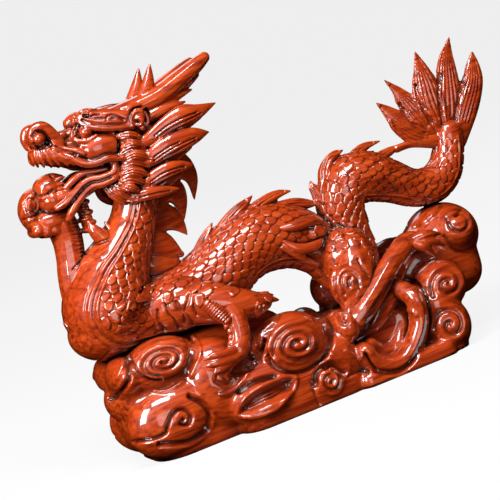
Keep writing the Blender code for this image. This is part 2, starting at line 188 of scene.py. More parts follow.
# Where each point appears on the middle plane, from the viewed side or, mirrored, from the far side.
def seenAt(points, side):
    span = -eyePoint[1] - side * points[:, 1]
    scale = -eyePoint[1] / span
    return np.column_stack([eyePoint[0] + (points[:, 0] - eyePoint[0]) * scale,
                            eyePoint[2] + (points[:, 2] - eyePoint[2]) * scale])


# The true place of something that appears at x, z and stands y off the middle plane.
def placed(x, z, y, side):
    share = y / -eyePoint[1]
    return x + (eyePoint[0] - x) * share, side * y, z + (eyePoint[2] - z) * share


def fromView(rows, side):
    return [(*placed(x, z, y, side), radius) for x, z, y, radius in rows]


# How fully each point is cut: 1 on a line, falling smoothly to 0 at the width.
def cutShare(points, lines, width):
    share = np.clip(1 - distanceTo(points, lines, width) / width, 0, 1)
    return share * share * (3 - 2 * share)


# Cuts (depth above 0) or raises (below 0) lines of x, z drawn on one side of a piece.
# Within gives the depths off the middle plane between which it works.
def drawLines(piece, lines, width, depth, side=near, within=None):
    points, outward = readPoints(piece)
    eye = np.array([eyePoint[0], -side * eyePoint[1], eyePoint[2]])
    toEye = eye - points
    toEye /= np.linalg.norm(toEye, axis=1)[:, None]
    facing = np.clip(((outward * toEye).sum(1) - 0.08) / 0.25, 0, 1)
    seen = seenAt(points, side)
    if within:
        facing[(points[:, 1] * side < within[0]) | (points[:, 1] * side > within[1])] = 0
    seen[facing <= 0] = 1e4
    amount = cutShare(seen, lines, width) * facing * depth
    writePoints(piece, points - outward * amount[:, None])


# The same for lines in space, whichever way the surface faces.
def cutLines(piece, lines, width, depth):
    points, outward = readPoints(piece)
    amount = cutShare(points, lines, width) * depth
    writePoints(piece, points - outward * amount[:, None])


# A scroll that winds in from its outer radius, tilted by lean degrees.
def scroll(x, z, outer, turns, start=0.0, tall=1.0, turn=1, lean=0.0, inner=0.12):
    count = int(turns * 26)
    tilt = math.radians(lean)
    line = []
    for step in range(count + 1):
        share = step / count
        angle = math.radians(start) + turn * share * turns * 2 * math.pi
        reach = outer * (1 - (1 - inner) * share)
        across, up = reach * math.cos(angle), tall * reach * math.sin(angle)
        line.append((x + across * math.cos(tilt) - up * math.sin(tilt),
                     z + across * math.sin(tilt) + up * math.cos(tilt)))
    return line


def bend(points, steps=6):
    return [tuple(row) for row in smoothRows(points, steps)]


# A group holds its width, its depth and then its lines.
def drawGroup(piece, group, side, within):
    width, depth, lines = group
    drawLines(piece, [bend(line) for line in lines], width, depth, side, within)


def thinTo(piece, most):
    piece.data.calc_loop_triangles()
    count = len(piece.data.loop_triangles)
    if count <= most:
        return
    selectOnly(piece)
    applyModifier(piece, "DECIMATE", ratio=most / count)


# Colours are sRGB hex values, turned linear here.
def colour(value):
    parts = [int(value[i:i + 2], 16) / 255 for i in (0, 2, 4)]
    return tuple(c / 12.92 if c <= 0.04045 else ((c + 0.055) / 1.055) ** 2.4 for c in parts) + (1,)


# One node with its settings and its links: inputs given as a value or as another node's output.
def addNode(tree, kind, inputs=(), **settings):
    node = tree.nodes.new(kind)
    for name, value in settings.items():
        setattr(node, name, value)
    for name, value in dict(inputs).items():
        if isinstance(value, bpy.types.NodeSocket):
            tree.links.new(value, node.inputs[name])
        else:
            node.inputs[name].default_value = value
    return node


rosewoodLook = {
    "bright": "CF5416",
    "warm": "A4320A",
    "dark": "440C02",
    # colour of the painted shade in the cuts and hollows
    "paintedShade": "160201",
    "grainLength": 45,  # mm
    "grainWidth": 1.1,  # mm
    "shadeHollowReach": 14,  # mm, width of the hollows that the painted shade darkens
    "shadeCutReach": 3,  # mm, the same for cuts
    "shadeRange": (0.14, 0.72),  # openness where the painted shade is darkest, and where it ends
    "roughness": 0.42,  # of the wood
    "sheen": 0.25,  # of the wood under its coat
    "coatRoughness": 0.07,
    "coatIor": 1.7,
}


# Stained rosewood under clear gloss lacquer: deep red-orange wood with a wet-looking coat, and painted
# shade darkening its cuts and hollows.
def makeRosewood():
    look = rosewoodLook
    material = bpy.data.materials.new("lacqueredRosewood")
    material.use_nodes = True
    tree = material.node_tree
    surface = tree.nodes["Principled BSDF"]
    place = addNode(tree, "ShaderNodeTexCoord")
    stretch = addNode(tree, "ShaderNodeMapping", {
        "Vector": place.outputs["Object"],
        "Rotation": (0.0, math.radians(-6), 0.0),
        "Scale": (1 / mm / look["grainLength"], *[1 / mm / look["grainWidth"] / 3] * 2)})
    streaks = addNode(tree, "ShaderNodeTexNoise", {
        "Vector": stretch.outputs["Vector"], "Scale": 1.0, "Detail": 6.0, "Roughness": 0.62,
        "Distortion": 0.25})
    clouds = addNode(tree, "ShaderNodeTexNoise", {
        "Vector": place.outputs["Object"], "Scale": 26.0, "Detail": 3.0, "Roughness": 0.5})
    tone = addNode(tree, "ShaderNodeValToRGB", {"Fac": streaks.outputs["Fac"]})
    ramp = tone.color_ramp
    ramp.elements[0].position, ramp.elements[0].color = 0.38, colour(look["dark"])
    ramp.elements[1].position, ramp.elements[1].color = 0.62, colour(look["bright"])
    middle = ramp.elements.new(0.47)
    middle.color = colour(look["warm"])
    patches = addNode(tree, "ShaderNodeMix", {
        "Factor": clouds.outputs["Fac"], "A": tone.outputs["Color"], "B": colour(look["warm"])},
        data_type="RGBA", blend_type="MIX")
    # Painted shade: ambient occlusion darkens the cuts and hollows towards a near-black brown.
    hollow, cut = [
        addNode(tree, "ShaderNodeAmbientOcclusion", {"Distance": look[reach] * mm}, samples=8)
        for reach in ("shadeHollowReach", "shadeCutReach")]
    openness = addNode(tree, "ShaderNodeMath", {0: hollow.outputs["AO"], 1: cut.outputs["AO"]},
                       operation="MULTIPLY")
    shadeAmount = addNode(tree, "ShaderNodeMapRange", {
        "Value": openness.outputs["Value"], "From Min": look["shadeRange"][0], "From Max": look["shadeRange"][1]})
    shadedWood = addNode(tree, "ShaderNodeMix", {
        "Factor": shadeAmount.outputs["Result"], "A": colour(look["paintedShade"]),
        "B": patches.outputs["Result"]}, data_type="RGBA", blend_type="MIX")
    tree.links.new(shadedWood.outputs["Result"], surface.inputs["Base Color"])
    surface.inputs["Roughness"].default_value = look["roughness"]
    surface.inputs["Specular IOR Level"].default_value = look["sheen"]
    surface.inputs["IOR"].default_value = 1.5
    surface.inputs["Coat Weight"].default_value = 1.0
    surface.inputs["Coat Roughness"].default_value = look["coatRoughness"]
    surface.inputs["Coat IOR"].default_value = look["coatIor"]
    return material


rosewood = makeRosewood()


# Every piece is part of the one carved block.
def finishPiece(piece, most):
    thinTo(piece, most)
    piece.data.validate()  # drops the few empty faces that thinning can leave
    selectOnly(piece)
    bpy.ops.object.shade_smooth()
    piece.data.materials.clear()
    piece.data.materials.append(rosewood)
    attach(piece, "root")
    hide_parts("dragon_sculpture")
    piece.data.calc_loop_triangles()
    print(piece.name, "done:", len(piece.data.loop_triangles), "triangles")


deselectAll()  # the solid's nodes come in selected

# Body
body = {
    "voxel": 1.0,
    "most": 110000,  # triangles, as in each dictionary below
    "girth": 29.0,  # radius that the spine's shares are taken of
    "spine": (  # x, z, share of the girth, degrees that the scales reach down each side
        (-70, 226, 0.60, 90), (-82, 202, 0.61, 88), (-93, 181, 0.66, 92), (-109, 162, 0.84, 98),
        (-124, 144, 1.10, 106), (-132, 122, 1.30, 115), (-114, 112, 0.98, 118), (-88, 111, 0.90, 120),
        (-62, 113, 0.93, 124), (-38, 120, 0.97, 128), (-17, 131, 0.96, 126), (6, 135, 0.96, 124),
        (33, 128, 0.90, 124), (54, 109, 0.76, 124), (66, 86, 0.68, 124), (76, 73, 0.64, 124),
        (83, 95, 0.64, 124), (82, 120, 0.66, 122), (84, 141, 0.71, 120), (95, 155, 0.74, 124),
        (114, 154, 0.75, 128), (133, 144, 0.63, 126), (150, 133, 0.56, 120), (168, 129, 0.56, 116),
        (184, 136, 0.53, 106), (194, 151, 0.47, 100), (199, 166, 0.44, 96)),
    # Degrees past the scales, width and depth, of the bands and of the cuts between plates.
    "bands": ((6, 2.0, -1.3), (12, 1.5, 1.5), (17, 1.7, -0.6), (22, 1.4, 1.0)),
    "plates": (26, 1.5, 1.3),
    "wrinkles": (2.0, 2.2, (  # width and depth, then the lines of x, z
        ((-86, 113), (-87, 104), (-84, 98), (-83, 90)),
        ((-78, 111), (-77, 103), (-73, 97), (-71, 90)),
        ((-95, 110), (-97, 102), (-95, 93)),
        ((-66, 113), (-70, 107), (-75, 101), (-76, 94)),
        ((-60, 114), (-61, 107), (-66, 102), (-65, 95)),
        ((-53, 112), (-52, 107), (-56, 104)),
        ((63, 68), (62.5, 78), (66, 84), (71, 85.5), (76, 83), (78.5, 77), (78, 69)),
        ((69, 72), (70, 78), (73, 79.5)),
        ((55, 70), (56.5, 80), (59, 87), (64, 93)),
        ((84, 92), (86, 83), (89, 75)))),
}


def makeBody():
    spine = [(x, 0, z, share * body["girth"]) for x, z, share, _ in body["spine"]]
    stroke(spine, steps=8, sides=10)
    egg(-70, 0, 228, 22, 20, 22)
    egg(-136, 0, 110, 35, 31, 25)
    # Near shoulder and upper arm grow out of the chest.
    egg(-82, -17, 111, 34, 17, 21)
    stroke([(-88, -12, 110, 16), (-70, -26, 108, 17), (-52, -35, 101, 15), (-32, -40, 94, 11),
            (-22, -40, 92, 7)], sides=8)
    # Haunches.
    for side, back, drop in ((near, 0, 0), (far, 14, 9)):
        egg(64 + back, side * 20, 98 - drop, 20, 18, 27)
        egg(52 + back, side * 38, 81 - drop, 16, 14, 18)
        stroke([(70 + back, side * 22, 106 - drop, 17), (64 + back, side * 32, 90 - drop, 17),
                (56 + back, side * 38, 74 - drop, 15), (47 + back, side * 41, 60 - drop, 9)])
    for side in (near, far):
        egg(45, side * 18, 128, 12, 9, 8)
    return fuseForms("dragonBody", body["voxel"], 3)


dragonBody = makeBody()


# Middle line of the body with its way along and its way out to the back.
def spineFrames(steps):
    path = smoothRows(body["spine"], steps)
    return path, *waysOf(path)


# Point of the skin and the way out of it, at an angle from the back's ridge (0) towards either side.
def skinPoint(tree, centre, out, angle, side):
    way = Vector((out[0] * math.cos(angle), side * math.sin(angle), out[1] * math.cos(angle)))
    return tree.ray_cast(Vector((centre[0], 0, centre[1])) * mm, way)[:2]


scales = {
    "most": 190000,  # triangles, for all scales together
    "wide": 9.0,  # spacing across the body
    "step": 6.0,  # spacing along the body
    "halfLength": 5.6,
    "halfWidth": 4.5,
    "thick": 2.0,
    "height": 0.42,  # of the crown, over the skin
    "lift": 0.46,  # of the free end, above the crown
    "margins": (8.0, 6.0),  # left without scales at the neck and at the tail
    "bare": (  # left, right, low, high without scales
        (-104, -62, 60, 113), (-62, -20, 60, 103), (24, 62, 88, 122), (52, 96, 55, 101)),
}


# Points and faces of one scale: a tongue with a domed face and a thick round end.
def makeTongue():
    deselectAll()
    bpy.ops.mesh.primitive_grid_add(x_subdivisions=4, y_subdivisions=4, size=2)
    tongue = bpy.context.object
    places = np.empty(len(tongue.data.vertices) * 3)
    tongue.data.vertices.foreach_get("co", places)
    places = places.reshape(-1, 3)
    u, v = places[:, 0].copy(), places[:, 1].copy()
    # The square is pressed into a tongue: round at the free end (u = 1), full width at the root.
    width = np.where(u > -0.2, np.sqrt(np.clip(1 - np.clip(u + 0.2, 0, 1.2) ** 2 / 1.52, 0, 1)), 0.98)
    places[:, 0] = (u * (1 - 0.10 * v * v * (u > 0))) * scales["halfLength"]
    places[:, 1] = v * width * scales["halfWidth"]
    places[:, 2] = scales["height"] + scales["lift"] * u - scales["height"] * v * v
    tongue.data.vertices.foreach_set("co", places.ravel())
    tongue.data.update()
    bpy.ops.object.mode_set(mode="EDIT")
    bpy.ops.mesh.select_all(action="SELECT")
    bpy.ops.mesh.extrude_region_move(TRANSFORM_OT_translate={"value": (0, 0, -scales["thick"])})
    bpy.ops.mesh.select_all(action="SELECT")
    bpy.ops.mesh.normals_make_consistent(inside=False)
    bpy.ops.object.mode_set(mode="OBJECT")
    base = np.empty(len(tongue.data.vertices) * 3)
    tongue.data.vertices.foreach_get("co", base)
    base = base.reshape(-1, 3)
    faces = [tuple(face.vertices) for face in tongue.data.polygons]
    bpy.data.objects.remove(tongue)
    return base, faces


# Lays the scales in staggered rows, each with its root sunk in the skin.
def makeScales():
    tree = BVHTree.FromObject(dragonBody, bpy.context.evaluated_depsgraph_get())
    path, along, out = spineFrames(40)
    lengths = np.r_[0, np.cumsum(np.linalg.norm(np.diff(path[:, :2], axis=0), axis=1))]
    base, faces = makeTongue()
    allPoints, allFaces = [], []
    place, row = scales["margins"][0], 0
    while place < lengths[-1] - scales["margins"][1]:
        index = int(np.searchsorted(lengths, place))
        radius = path[index, 2] * body["girth"]
        reach = math.radians(path[index, 3])
        count = max(int(round(2 * reach * radius / scales["wide"])), 4)
        for step in range(count + row % 2):
            angle = ((step + 0.5 * (1 - row % 2)) / count * 2 - 1) * reach
            side = -1 if angle < 0 else 1
            hit, normal = skinPoint(tree, path[index, :2], out[index], abs(angle), side)
            if hit is None:
                continue
            x, z = seenAt(np.array([hit]) / mm, side)[0]
            if any(left < x < right and low < z < high for left, right, low, high in scales["bare"]):
                continue
            ahead = Vector((along[index, 0], 0, along[index, 1]))
            ahead = (ahead - normal * ahead.dot(normal)).normalized()
            across = normal.cross(ahead)
            turn = np.array([ahead, across, normal]).T
            allFaces += [tuple(i + len(allPoints) * len(base) for i in face) for face in faces]
            allPoints.append(base @ turn.T + np.array(hit) / mm)
        place += scales["step"]
        row += 1
    mesh = bpy.data.meshes.new("bodyScales")
    mesh.from_pydata((np.vstack(allPoints) * mm).tolist(), [], allFaces)
    piece = bpy.data.objects.new("bodyScales", mesh)
    bpy.context.scene.collection.objects.link(piece)
    print("scales:", len(allPoints), "each with", len(faces), "faces")
    return piece


# Raised bands and grooves run along each side below the scales, and cuts part the belly's plates.
def carveBelly():
    tree = BVHTree.FromObject(dragonBody, bpy.context.evaluated_depsgraph_get())
    path, _, out = spineFrames(8)
    for past, width, depth in body["bands"]:
        lines = []
        for side in (near, far):
            line = []
            for i in range(4, len(path) - 2):
                angle = math.radians(path[i, 3] + past)
                hit = skinPoint(tree, path[i, :2], out[i], angle, side)[0]
                if hit is not None:
                    line.append(np.array(hit) / mm)
            lines += [line[i:i + 7] for i in range(0, len(line) - 1, 6)]
        cutLines(dragonBody, lines, width, depth)
    past, width, depth = body["plates"]
    plates = []
    # A few cuts cross the chest, and close ones run from the forelegs to the tail.
    for i in (*range(28, 44, 7), *range(60, len(path) - 8, 4)):
        for side in (near, far):
            angles = np.radians(np.linspace(path[i, 3] + past, 180, 6))
            hits = [skinPoint(tree, path[i, :2], out[i], angle, side)[0] for angle in angles]
            plates.append([np.array(hit) / mm for hit in hits if hit is not None])
    cutLines(dragonBody, [line for line in plates if len(line) > 1], width, depth)
    for side in (near, far):
        drawGroup(dragonBody, body["wrinkles"], side, (8, 90))


bodyScales = makeScales()
carveBelly()
finishPiece(bodyScales, scales["most"])
finishPiece(dragonBody, body["most"])

# Crest
crest = {
    "voxel": 0.7,
    "most": 50000,
    "leaves": (  # x, z, half width, from the shoulders to the tail
        ((-54, 136, 5), (-43, 147, 5), (-35, 155, 3.5), (-29, 161, 0.8)),
        ((-30, 148, 6), (-14, 158, 6.5), (-1, 165, 5), (11, 171, 0.8)),
        ((4, 158, 6), (20, 163, 5.5), (33, 165.5, 3.6), (44, 164.5, 1)),
        ((30, 154, 6), (44, 153, 5.5), (56, 149.5, 4), (64, 147, 1)),
        ((68, 144, 6), (67, 155, 6), (64, 162, 3.5), (64, 166.5, 0.8)),
        ((78, 156, 9), (80, 169, 7.5), (86, 177.5, 5), (93, 181, 3.4), (100, 182, 0.8)),
        ((90, 164, 8), (95, 173, 5.5), (101, 177, 2)),
        ((104, 168, 8), (112, 175.5, 5.5), (122, 179, 3.4), (135, 179, 0.8)),
        ((122, 162, 8), (133, 166.5, 5), (143, 168.5, 3.6), (150, 170.5, 1)),
        ((148, 168, 3.4), (160, 168.5, 3.6), (174, 167, 6), (198, 160, 8))),
    "neckLeaves": (
        ((-60, 222, 12), (-42, 214, 12), (-34, 201, 6), (-37, 184, 0.8)),
        ((-70, 204, 14), (-54, 197, 12), (-49, 187, 7), (-50, 172, 0.8)),
        ((-82, 184, 13), (-66, 178, 12), (-57, 170, 7), (-52, 159, 0.8)),
        ((-92, 164, 12), (-80, 160, 13), (-70, 152, 10), (-62, 146, 3)),
        ((-96, 148, 9), (-84, 143, 12), (-72, 138, 9))),
}


def makeCrest():
    for leaves, flat in ((crest["leaves"], 0.8), (crest["neckLeaves"], 0.5)):
        for rows in leaves:
            stroke([(x, 0, z, wide) for x, z, wide in rows], flat=flat)
    piece = fuseForms("backCrest", crest["voxel"])
    grooves = []
    for rows in crest["leaves"][:-1]:
        path = smoothRows(rows, 6)
        out = waysOf(path)[1]
        for share in (0.1, 0.55):
            grooves.append((path[:, :2] + out * (path[:, 2] * share)[:, None])[4:-3])
    for side in (near, far):
        drawLines(piece, grooves, 1.1, 0.9, side)
    return piece


finishPiece(makeCrest(), crest["most"])

# Tail fin
tailFin = {
    "voxel": 0.8,
    "most": 90000,
    "flat": 5.5 / 13,  # half thickness of a leaf as a share of its half width
    "leaves": (  # y, then x, z, half width along each leaf
        (-1, (188, 164, 6), (171, 177, 12), (158, 189, 9.5), (150, 200, 5.5), (142, 210.5, 0.8)),
        (1, (192, 166, 8), (178, 186, 14), (169, 204, 9), (164.5, 214, 5), (156.5, 226, 0.8)),
        (-1.5, (196, 166, 10), (190, 190, 16), (190.5, 212, 12.5), (191, 226, 7), (190.5, 240.5, 1)),
        (1, (200, 164, 10), (208, 190, 15), (214, 212, 11), (219, 228, 7), (227, 243.5, 0.8)),
        (-1, (205, 158, 9), (222, 183, 12.5), (235, 201, 10.5), (240, 214, 7), (243, 224, 2))),
    "valleys": (3.2, 2.2, (  # between the leaves
        ((162, 202), (170, 186), (184, 168)),
        ((182, 213), (183.5, 192), (189, 170)),
        ((206, 216), (201, 194), (197, 172)),
        ((229, 213), (222, 196), (207, 170)))),
    "edge": (2.4, -1.2, (  # raised
        ((150, 192), (151.5, 182), (157, 173), (167, 167)),)),
}


def makeTailFin():
    for y, *rows in tailFin["leaves"]:
        stroke([(x, y, z, wide) for x, z, wide in rows], flat=tailFin["flat"], steps=8, sides=6)
    egg(198, 0, 165, 14, 9, 9)
    piece = fuseForms("tailFin", tailFin["voxel"])
    grooves = []
    for y, *rows in tailFin["leaves"]:
        path = smoothRows(rows, 8)
        out = waysOf(path)[1]
        for share in (-0.66, -0.4, -0.14, 0.14, 0.4, 0.66):
            grooves.append((path[:, :2] + out * (path[:, 2] * share)[:, None])[5:-4])
    for side in (near, far):
        drawGroup(piece, tailFin["valleys"], side, None)
        drawLines(piece, grooves, 1.3, 1.0, side)
        drawGroup(piece, tailFin["edge"], side, None)
    return piece


finishPiece(makeTailFin(), tailFin["most"])

# Head
head = {
    "voxel": 0.6,
    "most": 160000,
    "half": 26.0,  # half width
    "fringe": (
        ((-150, 258, 4, 2.4), (-152, 253, 5, 2.2), (-151, 249, 5, 1)),
        ((-148, 260, 8, 2.6), (-149.5, 255, 9, 2.4), (-149, 249.5, 9, 1)),
        ((-145, 259, 10, 2.6), (-145.5, 253, 11, 2.4), (-145, 247, 11, 1)),
        ((-141.5, 259, 12, 2.6), (-140.5, 252, 13, 2.4), (-139.5, 245.5, 12.5, 1)),
        ((-138, 258, 13, 2.6), (-135.5, 250, 14, 2.4), (-133.5, 243.5, 13.5, 1)),
        ((-134.5, 255, 14, 2.6), (-130.5, 248, 15, 2.4), (-127.5, 241.5, 14.5, 1)),
        ((-131, 251, 15, 2.6), (-126.5, 246, 16, 2.4), (-122.5, 240, 15.5, 1))),
    "rolls": (
        ((-128, 259, 10, 4.5), (-131.5, 267, 11, 5), (-137, 275, 12, 5), (-144, 275.3, 12, 4.8),
         (-147.6, 270, 12, 4), (-147, 264, 12, 3.4)),  # nostril
        # Eyelids
        ((-117, 261, 16, 2.2), (-111.5, 267, 18, 2.2), (-103, 266, 20, 2.4), (-96, 262, 21, 2)),
        ((-116, 259.5, 16, 2), (-112, 256, 18.5, 2.2), (-105, 254.5, 20.5, 2.4), (-98, 256.5, 21, 2)),
        ((-112, 251.5, 18.5, 2.2), (-105, 249.5, 20.5, 2.4), (-96, 251, 21.5, 2)),
        ((-108, 271.5, 13, 6), (-101, 272.5, 16, 7), (-91, 269.5, 19, 6), (-80, 266.5, 21, 6),
         (-70, 263, 23, 5.5)),  # brow
        ((-107, 270, 18, 2.6), (-100, 264.5, 22, 3), (-90, 260.5, 25, 3), (-79, 257.5, 26, 3),
         (-68, 254.5, 26.5, 2.8)),
        ((-104, 274, 18, 2.4), (-97, 268.5, 22, 2.6), (-87, 264.5, 25, 2.6), (-76, 261, 26, 2.4)),
        ((-68, 257, 27, 2.2), (-66, 262, 27, 2.3), (-60, 264.8, 27, 2.4), (-55, 261, 27, 2.4),
         (-55, 254.5, 27, 2.2), (-60, 250.8, 27, 2)),  # ear
        ((-74, 259, 24, 2.4), (-71, 264.5, 24, 2.6), (-65, 268.5, 23, 2.6), (-57, 268.5, 21, 2.4)),
        ((-133.5, 262, 12, 3), (-130, 256.5, 13.5, 3), (-124, 252.5, 15.5, 3), (-117, 249.5, 18, 3),
         (-112, 246, 20, 2.2)),  # upper lip
        ((-129, 250.5, 14, 2.8), (-122.5, 245.5, 17, 3.2), (-117, 240.5, 19, 3.3),
         (-111, 237.3, 20.5, 3.3), (-103, 236.3, 22, 3.2), (-94, 237, 23, 3.2), (-84, 233.8, 23, 3),
         (-76, 230.5, 22, 2.6)),
        ((-104, 237, 17, 2.2), (-96, 236.5, 20, 2.8), (-92, 233.5, 20, 3), (-91, 229.5, 20, 3.2),
         (-95, 224.6, 20, 3), (-105, 223.8, 19, 3), (-114, 225.2, 17, 3), (-122, 223.2, 15.5, 3),
         (-130, 218.6, 14.5, 3), (-138, 214, 13.5, 2.8), (-146, 212, 11, 2.2)),  # lower lip, doubled
        ((-89, 229, 17, 3), (-92, 221.8, 19.5, 3.2), (-104, 219.2, 18.5, 3.4),
         (-113, 219.8, 16.5, 3.4), (-122, 216.4, 14.5, 3.4), (-130, 211.2, 13.5, 3.4),
         (-136, 206, 12.5, 3.4), (-140.5, 201.5, 11, 2.6)),
        ((-134, 225, 9, 3), (-126, 229, 11, 3.4), (-118, 231.3, 13, 3), (-108, 230, 14, 3),
         (-99, 229, 16, 2.2)),
        ((-141, 233, 8, 2.2), (-136.5, 233.6, 9, 1.7), (-133, 233.6, 9, 0.8)),  # lower teeth
        ((-141, 229.2, 9, 2), (-135.5, 229.2, 10, 0.9)),
        ((-140, 225.6, 9, 2), (-135, 225.4, 10, 0.9))),
    "cuts": (1.7, 1.9, (
        ((-147.5, 271), (-142.5, 273.6), (-137.5, 271), (-135.5, 265)),
        ((-148, 265), (-144.5, 260.8), (-139, 259.5)),
        ((-120.5, 249.3), (-115, 244), (-110.5, 240.4), (-103, 239.8), (-95, 240.4), (-86, 238)),
        ((-131.5, 258), (-128, 253.7), (-122, 250), (-117.5, 245.5)),
        ((-105, 271.5), (-99, 266.2), (-89, 262.4), (-78, 259.4), (-69, 257)),
        ((-102, 274.5), (-96, 270.6), (-87, 267), (-80, 264.8)),
        ((-98, 271), (-94.5, 272.2), (-90.5, 271.2)),
        ((-87, 265.5), (-83.5, 268.2), (-78.5, 267.3), (-75, 264), (-72.5, 261.5)),
        ((-69, 256.5), (-68, 262), (-63, 266.8), (-56, 267)),
        ((-97, 222.1), (-106, 221.6), (-114, 222.6), (-122, 220), (-130, 215), (-138, 210)),
        ((-143, 238), (-142, 234.5)),
        ((-160, 230), (-158, 226), (-152, 224.6), (-145, 226.5)),
        ((-110, 276), (-111, 270), (-107, 266)))),
    "pits": (3.0, 4.2, (
        ((-137, 264.5), (-136.2, 261)),
        ((-104, 278.4), (-103, 278)),
        ((-100, 277.3), (-99, 277)),
        ((-101.5, 274), (-100.5, 273.8)),
        ((-63, 257), (-61.5, 256)),
        ((-52.5, 263), (-53, 258), (-56, 250)),
        ((-80.5, 253), (-81, 246), (-84.5, 237)),
        ((-114, 264.5), (-110, 267.5)))),
}


def makeHead():
    half = head["half"]
    # Skull, snout, upper lip and lower jaw.
    egg(-84, 0, 250, 30, half * 0.9, 25)
    stroke([(-100, 0, 266, 11), (-82, 0, 264, 13), (-66, 0, 262, 11)], flat=1.3)
    stroke([(-92, 0, 250, 19), (-112, 0, 251, 13.5), (-128, 0, 253.5, 10.5), (-142, 0, 261, 8)],
           flat=half / 24)
    stroke([(-118, 0, 248, 9), (-134, 0, 250, 8), (-149, 0, 256, 6)], flat=1.7)
    stroke([(-84, 0, 228, 11), (-104, 0, 226, 8.5), (-124, 0, 220, 7.5), (-142, 0, 219, 9)], flat=1.5)
    egg(-149, 0, 219, 11, 12, 10)
    egg(-149, 0, 230, 11.5, 12, 9.5)
    stroke([(-153, 0, 225, 8), (-151, 0, 232, 7.5), (-143, 0, 235.5, 4.5), (-136, 0, 234, 2.5)], flat=1.4)
    stroke([(-130, 0, 226, 4), (-118, 0, 231, 4), (-102, 0, 231, 4)], flat=1.8)
    for side in (near, far):
        for row in head["fringe"] + head["rolls"]:
            stroke(fromView(row, side))
        for x, z, y, radius in ((-143.3, 267.3, 14, 5.4), (-105.5, 261.3, 19, 5.2), (-125, 264.3, 5, 4.6),
                                (-117, 264.3, 5, 4.2), (-61, 257.5, 25, 6)):
            egg(*placed(x, z, y, side), radius)
        egg(*placed(-96.5, 246.5, 16, side), 18, 9.5, 12)
        # Horn and its branch, a spur above and two prongs below.
        stroke([(-84, side * 11, 266, 8), (-62, side * 14, 268, 8.5), (-44, side * 16, 271, 8.5),
                (-25, side * 17, 278, 7.7), (-8, side * 18, 285, 6.3), (1, side * 18, 289, 4.7)])
        stroke([(-44, side * 13, 268, 6), (-26, side * 13, 272, 6), (-10, side * 14, 279, 4.5)])
        stroke([(-56, side * 15, 272, 7), (-49, side * 15, 283, 5.4), (-43, side * 15, 296.5, 1)],
               flat=0.8)
        stroke([(-62, side * 16, 262, 6), (-40, side * 17, 266, 6), (-17, side * 17, 268, 1)], flat=0.7)
        stroke([(-62, side * 18, 257, 5), (-44, side * 19, 259.5, 5), (-26, side * 19, 260.5, 1)],
               flat=0.7)
    piece = fuseForms("dragonHead", head["voxel"])
    for side in (near, far):
        for name in ("cuts", "pits"):
            drawGroup(piece, head[name], side, (2, 60))
    return piece


finishPiece(makeHead(), head["most"])

# Mane
mane = {
    "voxel": 0.6,
    "most": 125000,
    "locks": (  # x, z as seen, depth, half width
        ((-66, 240, 20, 5), (-55, 241.5, 24, 6), (-40, 247.5, 26, 6.8), (-25, 250.3, 27, 8.8),
         (-12, 249.8, 26, 6.2), (5, 252, 24, 0.8)),
        ((-70, 224, 20, 5), (-60, 226.5, 24, 6.8), (-45, 230.5, 26, 8.8), (-30, 232.3, 26, 8.6),
         (-18, 232.3, 25, 5.8), (-8, 231.5, 24, 0.8)),
        ((-74, 206.5, 19, 4), (-64, 210.5, 23, 5.8), (-50, 213.3, 25, 6.2), (-40, 212.8, 24, 4.8),
         (-30, 211, 23, 1.5)),
        ((-86, 200, 18, 4), (-75, 200, 22, 4.8), (-62, 198.8, 22, 4.8), (-54, 197.6, 21, 3),
         (-47, 196, 20, 1))),
    "backs": (  # shaded facets under the locks
        ((-60, 235, 14, 6), (-42, 240, 16, 5.5), (-28, 243, 17, 5.5), (-12, 246, 17, 3)),
        ((-62, 216, 14, 6), (-45, 221, 16, 5.5), (-28, 226, 16, 3.5)),
        ((-70, 200, 13, 5), (-52, 205, 15, 4.5), (-40, 208, 15, 2))),
    "tufts": (  # from the cheek down the neck
        ((-80, 250.5), (-72, 249), (-63, 245)),
        ((-79, 246), (-71, 245), (-62.5, 240.5)),
        ((-79, 241), (-71, 241.5), (-63, 236.5)),
        ((-83.5, 236), (-75, 237.5), (-67, 235), (-60.5, 230.5)),
        ((-82, 231.5), (-73, 232.5), (-66, 229), (-60, 225)),
        ((-85, 226), (-78, 227), (-71, 224), (-64.5, 219.5)),
        ((-87, 221), (-79, 221), (-72, 217.5), (-66, 213)),
        ((-90, 216), (-83, 216), (-76, 212.5), (-70.5, 207.5)),
        ((-90, 211), (-84, 209), (-78, 203.5)),
        ((-104, 217), (-99.5, 208), (-93, 201.5), (-86, 197.5)),
        ((-99, 217), (-93, 209.5), (-86.5, 203), (-81, 199)),
        ((-94, 217), (-88, 211), (-82, 204.5))),
    "lockGrooves": (1.1, 1.3, (
        ((-52, 242), (-40, 246), (-25, 248.6), (-12, 249.2)),
        ((-50, 239.8), (-38, 243.4), (-20, 245.8), (-9, 247.4)),
        ((-45, 238.6), (-30, 241.6), (-18, 243.4)),
        ((-58, 226), (-45, 229.6), (-34, 231)),
        ((-59, 223.2), (-45, 227), (-32, 229.3), (-20, 230.2)),
        ((-52, 222.4), (-40, 224.4), (-30, 226.6), (-20, 228.2)),
        ((-67, 208.4), (-55, 211.4), (-45, 212), (-36, 211)),
        ((-68, 205.8), (-55, 208.4), (-40, 209.6)),
        ((-80, 199.2), (-66, 198.2), (-54, 196.6)))),
}


